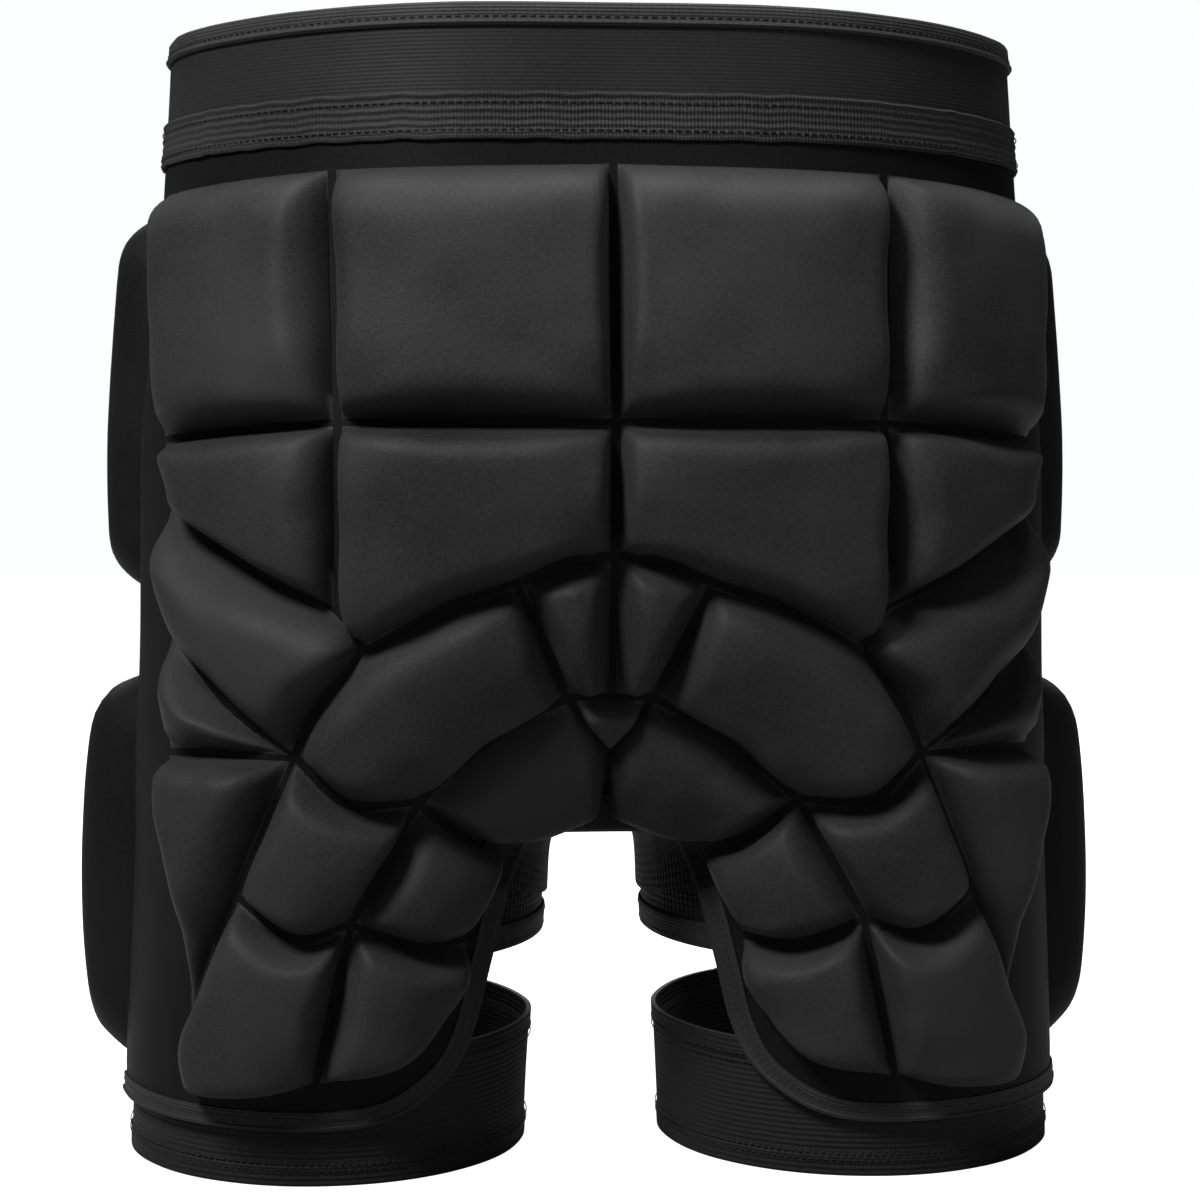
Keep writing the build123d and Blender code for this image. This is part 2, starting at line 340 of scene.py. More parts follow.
# ---- materials ----
def fabricMaterial(name, look):
    material = bpy.data.materials.new(name)
    material.use_nodes = True
    tree = material.node_tree
    tree.nodes.clear()
    link = tree.links.new

    def node(kind, **values):
        made = tree.nodes.new(kind)
        for key, value in values.items():
            if hasattr(made, key):
                setattr(made, key, value)
            else:
                made.inputs[key].default_value = value
        return made

    output = node("ShaderNodeOutputMaterial")
    shader = node("ShaderNodeBsdfPrincipled")
    shader.inputs["Roughness"].default_value = look["roughness"]
    shader.inputs["Specular IOR Level"].default_value = look["specular"]
    shader.inputs["Sheen Weight"].default_value = look["sheen"]
    shader.inputs["Sheen Roughness"].default_value = look["sheenRoughness"]
    shader.inputs["Sheen Tint"].default_value = (*look["sheenTint"], 1)
    place = node("ShaderNodeTexCoord")
    blotch = node("ShaderNodeTexNoise")
    blotch.inputs["Scale"].default_value = look["blotchScale"]
    blotch.inputs["Detail"].default_value = 3
    link(place.outputs["Object"], blotch.inputs["Vector"])
    grain = node("ShaderNodeTexNoise")
    grain.inputs["Scale"].default_value = look["grainScale"]
    grain.inputs["Detail"].default_value = 2
    grain.inputs["Roughness"].default_value = 0.7
    link(place.outputs["Object"], grain.inputs["Vector"])
    mixed = node("ShaderNodeMath", operation="MULTIPLY_ADD")
    link(grain.outputs["Fac"], mixed.inputs[0])
    mixed.inputs[1].default_value = look["grainShare"]
    link(blotch.outputs["Fac"], mixed.inputs[2])
    tones = node("ShaderNodeValToRGB")
    tones.color_ramp.elements[0].position = 0.35
    tones.color_ramp.elements[0].color = (*look["dark"], 1)
    tones.color_ramp.elements[1].position = 0.35 + look["grainShare"] + 0.3
    tones.color_ramp.elements[1].color = (*look["light"], 1)
    link(mixed.outputs[0], tones.inputs["Fac"])
    link(tones.outputs["Color"], shader.inputs["Base Color"])
    relief = grain.outputs["Fac"]
    if look.get("ribs"):
        pattern = node("ShaderNodeUVMap")
        ribs = node("ShaderNodeTexWave", bands_direction=look.get("ribDirection", "Y"))
        ribs.inputs["Scale"].default_value = 2 * pi / (20 * look["ribs"] * mm)
        ribs.inputs["Distortion"].default_value = look.get("ribWander", 0.4)
        ribs.inputs["Detail"].default_value = 1
        link(pattern.outputs["UV"], ribs.inputs["Vector"])
        cross = node("ShaderNodeTexWave", bands_direction="X" if look.get("ribDirection", "Y") == "Y" else "Y")
        cross.inputs["Scale"].default_value = 2 * pi / (20 * look["crossRibs"] * mm)
        cross.inputs["Distortion"].default_value = 0.6
        link(pattern.outputs["UV"], cross.inputs["Vector"])
        woven = node("ShaderNodeMath", operation="MULTIPLY_ADD")
        link(cross.outputs["Fac"], woven.inputs[0])
        woven.inputs[1].default_value = look.get("crossShare", 0.4)
        link(ribs.outputs["Fac"], woven.inputs[2])
        both = node("ShaderNodeMath", operation="MULTIPLY_ADD")
        link(grain.outputs["Fac"], both.inputs[0])
        both.inputs[1].default_value = look.get("fuzz", 0.5)
        link(woven.outputs[0], both.inputs[2])
        relief = both.outputs[0]
    bump = node("ShaderNodeBump")
    bump.inputs["Strength"].default_value = look["bump"]
    bump.inputs["Distance"].default_value = look["relief"] * mm
    link(relief, bump.inputs["Height"])
    link(bump.outputs["Normal"], shader.inputs["Normal"])
    link(shader.outputs["BSDF"], output.inputs["Surface"])
    return material


plainKnit = {
    "dark": (0.002, 0.002, 0.0021), "light": (0.02, 0.02, 0.0206), "roughness": 0.58, "specular": 0.09,
    "sheen": 0.02, "sheenRoughness": 0.45, "sheenTint": (0.8, 0.82, 0.86), "blotchScale": 14, "grainScale": 1100,
    "grainShare": 0.8, "bump": 0.6, "relief": 0.16,
}
looks = {
    "padKnit": plainKnit,
    # panel cloth: darker than the pad cloth, painted shade for the grooves between the seat blocks
    "panelKnitPaintedShade": plainKnit | {"dark": (0.001, 0.001, 0.001), "light": (0.006, 0.006, 0.0062), "specular": 0.04, "sheen": 0.01},
    # side pad cloth: a darker copy of the pad cloth, painted shade on the side pads that turn away from the lamps
    "sideKnitPaintedShade": plainKnit | {"dark": (0.0012, 0.0012, 0.0012), "light": (0.0065, 0.0065, 0.0067), "specular": 0.05},
    "meshCloth": plainKnit | {"light": (0.008, 0.008, 0.0083), "specular": 0.05, "ribs": 2.2, "crossRibs": 2.6, "crossShare": 1.0, "relief": 0.35, "bump": 0.8},
    "bandCloth": plainKnit | {"light": (0.012, 0.012, 0.0124), "ribs": 1.3, "crossRibs": 0.9, "relief": 0.12, "bump": 0.5, "roughness": 0.6},
    "bindingTape": plainKnit | {"ribs": 1.1, "crossRibs": 2.2, "relief": 0.25, "bump": 0.7, "dark": (0.0012, 0.0012, 0.0013)},
    "seamElastic": plainKnit | {"ribs": 2.4, "crossRibs": 1.2, "relief": 0.5, "bump": 0.8, "dark": (0.0012, 0.0012, 0.0013)},
    "strapElastic": plainKnit | {"light": (0.012, 0.012, 0.0124), "ribs": 1.9, "crossRibs": 1.4, "relief": 0.35, "bump": 0.7, "roughness": 0.66},
    "hookPile": plainKnit | {"ribs": 1.6, "crossRibs": 1.6, "crossShare": 1.0, "relief": 0.6, "bump": 1.0, "roughness": 0.5},
    "loopPile": plainKnit | {"grainScale": 700, "relief": 0.9, "bump": 1.0, "sheen": 0.15, "roughness": 0.85},
    "thread": plainKnit | {"dark": (0.006, 0.006, 0.0065), "light": (0.016, 0.016, 0.017), "roughness": 0.45},
}
fabrics = {name: fabricMaterial(name, look) for name, look in looks.items()}
print("materials", len(fabrics))

# ---- seat pad: grooves seen from behind, distance from the middle and height, on the wearer's right ----
places = {
    "topMid": (0, 339), "topSeam": (90, 338), "topOuter": (149, 336),
    "beltMid": (0, 255), "beltSeam": (88, 255), "beltOuter": (148, 250),
    "archTop": (0, 213), "archFan": (31, 204), "archWing": (80, 182.5), "archHip": (103, 147),
    "wingSeam": (88, 195), "wingTop": (145.5, 230), "wingSplit": (145.5, 187), "wingBottom": (146.5, 146),
    "tailLeft": (0, 166), "tailSeam": (14, 166), "tailTip": (0, 148), "crotchMid": (0, 122),
    "fork": (63, 131), "forkInner": (32, 114), "knee": (85, 91), "kneeInner": (45.5, 83), "kneeOuter": (122.5, 100),
    "sideTip": (139, 54), "sideLow": (139, 29), "lowSeam": (97, 35.5),
}


def line(*names):
    # a groove through named places and bare bends, in rear view
    return [places[n] if isinstance(n, str) else n for n in names]


grooves = {
    "fanLow": line("tailLeft", "tailSeam"),
    "arch": line("archTop", (16, 210.5), "archFan", (57, 195), "archWing"),
    "archLow": line("archWing", (93, 166), "archHip"),
    "archInner": line("archTop", (16, 210.5), "archFan"),
    "archOuter": line("archFan", (57, 195), "archWing", (93, 166), "archHip"),
    "wingUpper": line("wingSeam", (120, 210), "wingTop"),
    "wingLower": line("archHip", (127, 165), "wingSplit"),
    "wingFoot": line("archHip", (126, 147), "wingBottom"),
    "middleArc": line("tailSeam", (38, 153), "fork"),
    "forkArc": line("fork", (86, 132), "archHip"),
    "forkInnerArc": line("forkInner", (46, 117), "fork"),
    "outerThigh": line("archHip", "kneeOuter"),
    "outerLow": line("sideLow", "sideTip", (131, 78), "kneeOuter"),
    "innerThigh": line("knee", "fork"),
    "kneeArc": line("knee", (103, 86.5), "kneeOuter"),
    "kneeInnerArc": line("kneeInner", (63, 82), "knee"),
    "lowThigh": line("lowSeam", "knee"),
    "lobeInner": line("kneeInner", "forkInner"),
    "lobeLow": line("lowSeam", (70, 40), (53.5, 55), (47, 70), "kneeInner"),
    "sideOuter": line("sideTip", (140.5, 85), (145, 116), "wingBottom"),
    "sideInner": line("sideTip", (131, 78), "kneeOuter", "archHip"),
}
# each block: bottom, top, left and right sides, and what differs from the usual pad shape
seatBlocks = {
    "upper_inner": (
        line("beltMid", "beltSeam"), line("topMid", "topSeam"), line("beltMid", "topMid"), line("beltSeam", "topSeam"),
        {"top": 24, "left": 7},
    ),
    "upper_outer": (
        line("beltSeam", "beltOuter"), line("topSeam", "topOuter"), line("beltSeam", "topSeam"),
        line("beltOuter", (151, 290), "topOuter"), {"top": 22, "right": 34, "outerPower": 1.5},
    ),
    "middle_inner": (
        grooves["arch"], line("beltMid", "beltSeam"), line("archTop", "beltMid"), line("archWing", "wingSeam", "beltSeam"),
        {"left": 8},
    ),
    "middle_outer": (
        grooves["wingUpper"], line("beltSeam", "beltOuter"), line("wingSeam", "beltSeam"),
        line("wingTop", (148, 240), "beltOuter"), {"crown": 14.5, "right": 30, "outerPower": 1.5},
    ),
    "wing_upper": (
        grooves["wingLower"], grooves["wingUpper"], line("archHip", (93, 166), "archWing", "wingSeam"),
        line("wingSplit", (149, 209), "wingTop"), {"bottom": 21, "top": 19, "power": 1.9, "right": 26, "outerPower": 1.5},
    ),
    "wing_lower": (
        grooves["wingFoot"], grooves["wingLower"], line("archHip", "archHip"), line("wingBottom", (148.5, 166), "wingSplit"),
        {"crown": 13, "bottom": 16, "top": 16, "power": 1.9, "right": 26, "outerPower": 1.5},
    ),
    "arch_inner": (
        grooves["fanLow"], grooves["archInner"], line("tailLeft", "archTop"), line("tailSeam", "archFan"),
        {"crown": 12.5, "left": 12, "right": 12, "power": 1.8},
    ),
    "arch_outer": (
        line("tailSeam", (38, 153), "fork"), grooves["archOuter"], line("tailSeam", "archFan"), grooves["forkArc"],
        {"crown": 15, "bottom": 14, "top": 13, "right": 18},
    ),
    "crotch": (
        line("crotchMid", "forkInner"), grooves["middleArc"], line("crotchMid", "tailTip", "tailSeam"),
        line("forkInner", (46, 117), "fork"), {"crown": 13, "bottom": 16, "top": 13},
    ),
    "thigh_middle_outer": (
        grooves["kneeArc"], grooves["forkArc"], grooves["innerThigh"], line("kneeOuter", "archHip"),
        {"crown": 14, "bottom": 15, "right": 13},
    ),
    "thigh_middle_inner": (
        grooves["kneeInnerArc"], grooves["forkInnerArc"], grooves["lobeInner"], grooves["innerThigh"],
        {"crown": 13, "bottom": 14, "left": 14},
    ),
    "thigh_lower_outer": (
        line("lowSeam", (118, 30), "sideLow"), grooves["kneeArc"], grooves["lowThigh"], grooves["outerLow"],
        {"crown": 15, "right": 13},
    ),
    "thigh_lower_inner": (
        line((53.5, 55), (70, 40), "lowSeam"), grooves["kneeInnerArc"], line((53.5, 55), (47, 70), "kneeInner"),
        grooves["lowThigh"], {"crown": 14, "bottom": 12, "left": 12},
    ),
    "thigh_side": (
        line("sideTip", "sideTip"), grooves["wingFoot"], grooves["sideInner"], grooves["sideOuter"],
        {"crown": 15, "left": 14, "right": 24, "power": 2.1, "outerPower": 1.5},
    ),
    "tail": (
        line((0, 148), (0, 148)), line((-13, 166), (0, 167), (13, 166)), line((0, 148), (-9, 157), (-13, 166)),
        line((0, 148), (9, 157), (13, 166)), {"crown": 8, "bottom": 5, "top": 5, "left": 6, "right": 6, "power": 2.0, "corner": 6},
    ),
}
padShape = {
    "crown": 15.5, "groove": 3.0, "bottom": 11.0, "top": 11.0, "left": 11.0, "right": 11.0, "power": 2.6,
    "corner": 26.0, "lens": 34.0, "columns": 36, "rows": 36, "dome": 1.2, "ripple": 0.35,
}


def padLift(patch, place, shape):
    # how far the pad stands over the panel: walls that lean in over their width, and corners that pull down
    gaps = [max(gap - 0.5 * shape["groove"], 0.0) for gap in patch.toSides(place)]
    corner = min((place - c).length for c in patch.corners)
    lens = 0.38 + 0.62 * min(corner / shape["lens"], 1.0)
    rise = 1.0
    for gap, edge in zip(gaps, ("bottom", "top", "left", "right")):
        power = shape.get("outerPower", shape["power"]) if edge == "right" else shape["power"]
        rise *= 1 - (1 - min(gap / (shape[edge] * lens), 1.0)) ** power
    pull = min(corner / shape["corner"], 1.0)
    pull = 0.3 + 0.7 * pull * (2 - pull)
    dome = shape["dome"] * min(min(gaps) / 30, 1.0)
    ripple = noise.noise(Vector((place[0], place[1], 7.0)) / 17) * shape["ripple"]
    return (shape["crown"] * pull + dome + ripple) * rise


def makeBlock(label, sides, changes):
    shape = padShape | changes
    patch = Patch(*[[(uAtX(x, z), z) for x, z in points] for points in sides])
    lengths = [travelled[-1] for points, travelled in patch.sides]
    for edges, size in ((("left", "right"), 0.5 * (lengths[0] + lengths[1])), (("bottom", "top"), 0.5 * (lengths[2] + lengths[3]))):
        for edge in edges:
            shape[edge] = min(shape[edge], 0.5 * size)
    middle = patch.at(0.5, 0.5)
    build = bmesh.new()

    def inset(s, t):
        place = patch.at(s, t)
        shift = max(0.5 * shape["groove"] - min(patch.toSides(place)), 0.0)
        return place + (middle - place).normalized() * shift * 1.2

    def top(s, t):
        place = inset(s, t)
        rim = min(s, t, 1 - s, 1 - t) < 1e-6
        return around(*place, -0.3 if rim else padLift(patch, place, shape)), place * mm

    def bottom(s, t):
        place = inset(s, t)
        return around(*place, -0.3), place * mm

    gridOf(build, shape["columns"], shape["rows"], top, ease=True)
    gridOf(build, shape["columns"], shape["rows"], bottom, ease=True)
    bmesh.ops.remove_doubles(build, verts=build.verts, dist=0.02 * mm)
    return build


def mirrored(build):
    # the same piece for the wearer's left
    other = build.copy()
    bmesh.ops.scale(other, vec=(-1, 1, 1), verts=other.verts)
    bmesh.ops.reverse_faces(other, faces=other.faces)
    return other


def finishPair(name, build, material, replaces=(), slot=None, body="root", **extra):
    # the wearer's right piece and its mirror image; bodies and nodes ending in a side go with their own side
    pieces = []
    for side, shape in (("right", build), ("left", mirrored(build))):
        sided = [node.replace("*", side) for node in replaces]
        pieces.append(finish(f"{name}_{side}", shape, material, body.replace("*", side), sided, slot, **extra))
    return pieces


for label, (*sides, changes) in seatBlocks.items():
    build = makeBlock(label, sides, changes)
    if label == "tail":
        pads = [finish("cover_tail", build, fabrics["padKnit"], replaces=["seat_block_tail"], slot="seat_pad_cover", smooth=1.4)]
    else:
        pads = finishPair(f"cover_{label}", build, fabrics["padKnit"], [f"seat_block_{label}_*"], "seat_pad_cover", smooth=1.4)
print("seat blocks", 2 * len(seatBlocks) - 1)


# ---- cloth, tapes and stitches ----
def clothSheet(columns, rows, place, thickness, rounding=0.5, cut=None):
    # a grid of cloth, cut where the pattern says, given its thickness inwards and softened along its edges
    build = bmesh.new()
    gridOf(build, columns, rows, place)
    if cut:
        layer = build.loops.layers.uv.active
        gone = []
        for face in build.faces:
            spot = sum((loop[layer].uv for loop in face.loops), Vector((0, 0))) / len(face.loops) / mm
            if cut(spot.x, spot.y):
                gone.append(face)
        bmesh.ops.delete(build, geom=gone, context="FACES")
    bmesh.ops.remove_doubles(build, verts=build.verts, dist=0.02 * mm)
    bmesh.ops.recalc_face_normals(build, faces=build.faces)
    return thicken(build, thickness, rounding)


def thicken(build, thickness, rounding=0.5):
    # the grid's outside stays where it is
    outwards = sum((f.normal.dot(f.calc_center_median() - sheetMiddle(f)) for f in build.faces), 0.0)
    if outwards < 0:
        bmesh.ops.reverse_faces(build, faces=build.faces)
    bmesh.ops.solidify(build, geom=build.faces[:], thickness=thickness * mm)
    if rounding:
        rims = [e for e in build.edges if len(e.link_faces) == 2 and e.calc_face_angle(0) > 1.0]
        bmesh.ops.bevel(build, geom=rims, offset=rounding * mm, segments=2, profile=0.5, affect="EDGES", material=-1)
    return build


def sheetMiddle(face):
    # a point inside the garment near a face: on the waist's axis, or on the axis of a thigh
    spot = face.calc_center_median()
    if spot.z > 0.125:
        return Vector((0, roundTrip["centre"] * mm, spot.z))
    side = 1 if spot.x > 0 else -1
    return Vector((side * thigh["axis"][0] * mm, thigh["axis"][1] * mm, spot.z))


def offsetLine(points, travelled, distance):
    # directions across a line on the flat pattern, used to set tape and stitches beside it
    moved = []
    for number, point in enumerate(points):
        before, after = points[max(number - 1, 0)], points[min(number + 1, len(points) - 1)]
        run = (after - before).normalized()
        moved.append(point + Vector((run.y, -run.x)) * distance)
    return moved


def layTape(surface, path, across, columns, closed=False):
    # a tape laid along a line on the pattern; across lists (distance over the line, lift) round its section
    points, travelled = smoothLine(path)
    section = across + [across[0]]
    rows = len(section) - 1
    rails = [(offsetLine(points, travelled, d), travelled) for d, lift in section]
    build = bmesh.new()

    def place(s, t):
        row = round(t * rows)
        spot = along(rails[row], s)
        girth = sum((Vector(b) - Vector(a)).length for a, b in zip(section[:row], section[1:row + 1]))
        return surface(*spot, section[row][1]), Vector((s * travelled[-1], girth)) * mm

    gridOf(build, columns, rows, place)
    bmesh.ops.remove_doubles(build, verts=build.verts, dist=0.02 * mm)
    ends = [e for e in build.edges if len(e.link_faces) == 1]
    if ends and not closed:
        bmesh.ops.holes_fill(build, edges=ends, sides=0)
    return build


def flatTape(width, thickness, rise=0.0, edge=0.5):
    # the section of a flat tape with rounded edges
    half = 0.5 * width
    return [
        (-half, rise), (-half, rise + thickness - edge), (-half + edge, rise + thickness), (-half * 0.5, rise + thickness),
        (0, rise + thickness), (half * 0.5, rise + thickness), (half - edge, rise + thickness), (half, rise + thickness - edge),
        (half, rise), (0, rise),
    ]


stitch = {"pitch": 3.0, "length": 2.3, "width": 0.6, "height": 0.5, "around": 6, "over": 4}
stitchBuild = bmesh.new()
bmesh.ops.create_uvsphere(
    stitchBuild, u_segments=stitch["around"], v_segments=stitch["over"], radius=0.5 * mm,
    matrix=Matrix.Diagonal((stitch["length"], stitch["width"], stitch["height"], 1)) @ Matrix.Rotation(0.5 * pi, 4, "Y"),
)
stitchMesh = bpy.data.meshes.new("stitch")
stitchBuild.to_mesh(stitchMesh)
stitchBuild.free()


def sewRow(build, surface, path, offset=0.0, lift=0.0, pitch=None):
    # evenly spaced stitches along a line on the pattern
    points = smoothLine(path, 4)[0]
    points = offsetLine(points, None, offset) if offset else points
    fine = smoothLine(points, 2)
    count = max(int(fine[1][-1] / 4), 8)
    spots = [surface(*along(fine, n / count), lift) for n in range(count + 1)]
    lifted = [surface(*along(fine, n / count), lift + 1.0) for n in range(count + 1)]
    travelled = [0.0]
    for a, b in zip(spots, spots[1:]):
        travelled.append(travelled[-1] + (b - a).length)
    number = int(travelled[-1] / ((pitch or stitch["pitch"]) * mm))
    row = bmesh.new()
    for n in range(number):
        share = (n + 0.5) / number
        spot, over = along((spots, travelled), share), along((lifted, travelled), share)
        ahead, behind = along((spots, travelled), min(share + 0.001, 1.0)), along((spots, travelled), max(share - 0.001, 0.0))
        run = (ahead - behind).normalized()
        side = (over - spot).cross(run).normalized()
        turn = Matrix((run, side, run.cross(side))).transposed().to_4x4()
        old = len(row.verts)
        row.from_mesh(stitchMesh)
        row.verts.ensure_lookup_table()
        bmesh.ops.transform(row, matrix=Matrix.Translation(spot) @ turn, verts=row.verts[old:])
    joined = bpy.data.meshes.new("row")
    row.to_mesh(joined)
    row.free()
    build.from_mesh(joined)
    bpy.data.meshes.remove(joined)


# ---- edges of the panels on the pattern ----
lobe = smoothLine([(0, 121), (10, 120), (19, 117.5), (27, 114), (32, 102), (36, 88), (40.5, 70), (45, 52), (52, 38), (64, 28), (76, 23), (88, 21)])
seams = {"rows": 66, "columns": 44}
seatSeam = {}
frontSeam = {}


def seamAt(known, y, z):
    # the seam that lies at a fixed distance to the front, remembered for whole millimetres
    low = int(z // 4) * 4
    for height in (low, low + 4):
        if height not in known:
            known[height] = uAtY(y, height)
    return known[low] + (known[low + 4] - known[low]) * (z - low) / 4


def lobeAt(z):
    # how far from the middle the seat panel starts at this height
    points = lobe[0]
    if z >= points[0].y:
        return 0.0
    for a, b in zip(points, points[1:]):
        if a.y >= z >= b.y:
            return a.x + (b.x - a.x) * (a.y - z) / max(a.y - b.y, 1e-9)
    return points[-1].x


# heights of the seat panel's rows, closer together along the crotch and the lower edge
panelRows = [21, 22, 23.3, 25, 28, 32, 38, 45, 52, 58, 64, 70, 76, 82, 88, 95, 102, 108, 114, 116, 117.5, 119, 120, 121]
panelRows += [125 + 227 * n / 50 for n in range(51)]


def seatPanelPlace(s, t):
    z = panelRows[round(t * (len(panelRows) - 1))]
    start, end = lobeAt(z), seamAt(seatSeam, seatEdge, z)
    u = start + (end - start) * s
    return around(u, z), Vector((u, z)) * mm


panelCloth = {"thickness": cloth["thickness"], "columns": 60}
build = bmesh.new()
gridOf(build, panelCloth["columns"], len(panelRows) - 1, seatPanelPlace)
other = mirrored(build)
whole = bpy.data.meshes.new("half")
other.to_mesh(whole)
other.free()
build.from_mesh(whole)
bpy.data.meshes.remove(whole)
bmesh.ops.remove_doubles(build, verts=[v for v in build.verts if abs(v.co.x) < 0.8 * mm], dist=1.0 * mm)
for vert in build.verts:
    if abs(vert.co.x) < 0.6 * mm:
        vert.co.x = 0
bmesh.ops.recalc_face_normals(build, faces=build.faces)
# the seat panel's cloth is darkened as painted shade in the grooves
seatPanel = finish("seat_panel_cloth", thicken(build, panelCloth["thickness"]), fabrics["panelKnitPaintedShade"], replaces=["seat_panel"], slot="panel_cloth")

sideRows = [21 + 331 * n / 70 for n in range(71)]


def sidePanelPlace(s, t):
    z = sideRows[round(t * 70)]
    start, end = seamAt(seatSeam, seatEdge, z), seamAt(frontSeam, frontEdge, z)
    u = start + (end - start) * s
    return around(u, z), Vector((u, z)) * mm


build = clothSheet(22, 70, sidePanelPlace, cloth["thickness"])
for piece in finishPair("side_panel_cloth", build, fabrics["panelKnitPaintedShade"], ["side_panel_*"], "panel_cloth"):
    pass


def frontPanelPlace(s, t):
    z = 122 + 230 * t
    reach = frontMiddle - seamAt(frontSeam, frontEdge, z)
    x = (2 * s - 1) * reach
    u = frontMiddle - abs(x) if x >= 0 else -(frontMiddle - abs(x))
    return around(u, z), Vector((x, z)) * mm


build = clothSheet(60, 50, frontPanelPlace, cloth["thickness"])
piece = finish("front_panel_cloth", build, fabrics["meshCloth"], replaces=["front_panel"], slot="front_cloth")
print("panels")

# ---- cloth legs and gusset ----
legCloth = {"bottom": 76, "top": 112, "rise": 14, "hem": 9}


def legArc(u, z):
    # the arc round the thigh that reaches the same spot as a place on the rear or side pattern
    spot = around(u, z)
    angle = atan2(spot.y / mm - thigh["axis"][1], spot.x / mm - thigh["axis"][0]) % (2 * pi)
    return angle * thigh["scale"]


def innerLegPlace(s, t):
    z = legCloth["bottom"] + (legCloth["top"] - legCloth["bottom"]) * t
    start = legArc(seamAt(frontSeam, frontEdge, z), z) - 3
    end = legArc(lobeAt(z), z) + 4
    arc = start + (end - start) * s
    inner = pi * thigh["scale"]
    rise = min(max((inner - 35 - arc) / 45, 0.0), 1.0)
    z += legCloth["rise"] * t * rise * rise * (3 - 2 * rise)
    return roundThigh(arc, z, -0.4), Vector((arc, z)) * mm


build = clothSheet(70, 16, innerLegPlace, 2.0)
for piece in finishPair("inner_leg_cloth", build, fabrics["meshCloth"], ["inner_leg_*"], "front_cloth"):
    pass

hemArc = (legArc(seamAt(frontSeam, frontEdge, 80), 80), legArc(lobeAt(80), 80))
hemLine = [(hemArc[0] - 2, 80.5), (0.5 * (hemArc[0] + hemArc[1]), 80.5), (hemArc[1] + 2, 80.5)]
build = layTape(roundThigh, hemLine, flatTape(9, 0.9, -0.2), 110)
for piece in finishPair("leg_hem_tape", build, fabrics["bindingTape"], ["leg_hem_*"], "binding_tape"):
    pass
build = bmesh.new()
for offset in (-2.6, 2.6):
    sewRow(build, roundThigh, hemLine, offset, 0.75)
finishPair("leg_hem_stitches", build, fabrics["thread"], slot="binding_tape")

gusset = {"halfWidth": 22, "centre": 82, "spread": 1.15, "front": 84, "rear": -60}


def gussetPlace(s, t):
    # fans up from between the thighs, from the rear edge to the front panel
    turn = (2 * s - 1) * gusset["spread"]
    y = gusset["rear"] + (gusset["front"] - gusset["rear"]) * t
    start = Vector((0, y, gusset["centre"])) * mm
    direction = Vector((sin(turn), 0, cos(turn)))
    return onForm(start, direction, -0.2), Vector((turn * 30, y)) * mm


build = clothSheet(30, 40, gussetPlace, -1.6)
piece = finish("crotch_gusset_cloth", build, fabrics["meshCloth"], replaces=["crotch_gusset"], slot="front_cloth")
print("legs and gusset")

# ---- the seat panel's bound lower edge ----
lobeEdge = {"width": 6.5, "thickness": 0.9, "rib": 0.5, "piping": 0.7}


def bindingSection(width, thickness, rise, rib, piping):
    # a folded binding: a raised fold along the outer edge, and a flat part that carries the stitches
    half = 0.5 * width
    return [
        (-half, rise), (-half, rise + thickness * 0.7), (-half + 0.5, rise + thickness), (-half * 0.3, rise + thickness),
        (half * 0.3, rise + thickness), (half * 0.42, rise + thickness + rib * 0.3), (half * 0.6, rise + thickness + rib + piping * 0.6),
        (half * 0.85, rise + thickness + rib + piping * 0.5), (half + 0.3, rise + thickness * 0.6), (half + 0.2, rise - 0.8), (0, rise - 0.6),
    ]


rearLobe = [tuple(p) for p in smoothLine([(27, 114), (32, 102), (36, 88), (40.5, 70), (45, 52), (52, 38), (64, 28), (76, 23), (88, 21.3), (110, 21)], 4)[0]]
lobeEnd = seamAt(seatSeam, seatEdge, 22)
lobePath = rearLobe + [(rearLobe[-1][0] + (lobeEnd + 2 - rearLobe[-1][0]) * n / 8, 21) for n in range(1, 9)]
lobePath = [(u, z) for u, z in lobePath]
build = layTape(around, [(u + 0.0, z) for u, z in lobePath], [(d - 2.6, l) for d, l in bindingSection(lobeEdge["width"], lobeEdge["thickness"], 0.0, lobeEdge["rib"], lobeEdge["piping"])], 150)
for piece in finishPair("panel_binding_tape", build, fabrics["bindingTape"], ["panel_binding_*"], "binding_tape"):
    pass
build = bmesh.new()
sewRow(build, around, lobePath, -3.6, 0.95, 2.6)
finishPair("panel_binding_stitches", build, fabrics["thread"], slot="binding_tape")
print("panel binding")

# ---- waistband ----
window = (-(frontMiddle - 70), frontMiddle - 36)  # the waistband stops here, where the tab closes it
beltBottom = 361.0
band = {"columns": 260, "rows": 18, "wave": 0.5}
fullTurn = 2 * frontMiddle


def waveAt(u, z):
    return band["wave"] * noise.noise(Vector((u / 55, z / 40, 3.0)))


def bandPlace(s, t):
    u = (s - 0.5) * fullTurn
    z = 353 + (389.2 - 353) * t
    return around(u, z, waveAt(u, z)), Vector((u, z)) * mm


def inWindow(u, z):
    return z > beltBottom - 0.3 and not window[0] < u < window[1]


build = clothSheet(band["columns"], band["rows"], bandPlace, cloth["thickness"], cut=inWindow)
piece = finish("waistband_cloth", build, fabrics["bandCloth"], replaces=["waistband"], slot="waistband_cloth")


def foldedBinding(bottom, top):
    # the section of a binding folded over an edge, from the garment's outside to its inside
    return [
        (bottom, 0.2), (bottom + 0.1, 1.2), (bottom + 0.9, 1.75), (bottom + 1.7, 1.2), (bottom + 2.3, 0.85), (bottom + 4.0, 0.95),
        (top - 1.5, 1.0), (top - 0.4, 0.5), (top, -0.6), (top, -1.9), (top - 0.6, -2.9), (top - 2, -3.2), (bottom, -3.2), (bottom + 1, -1.2),
    ]


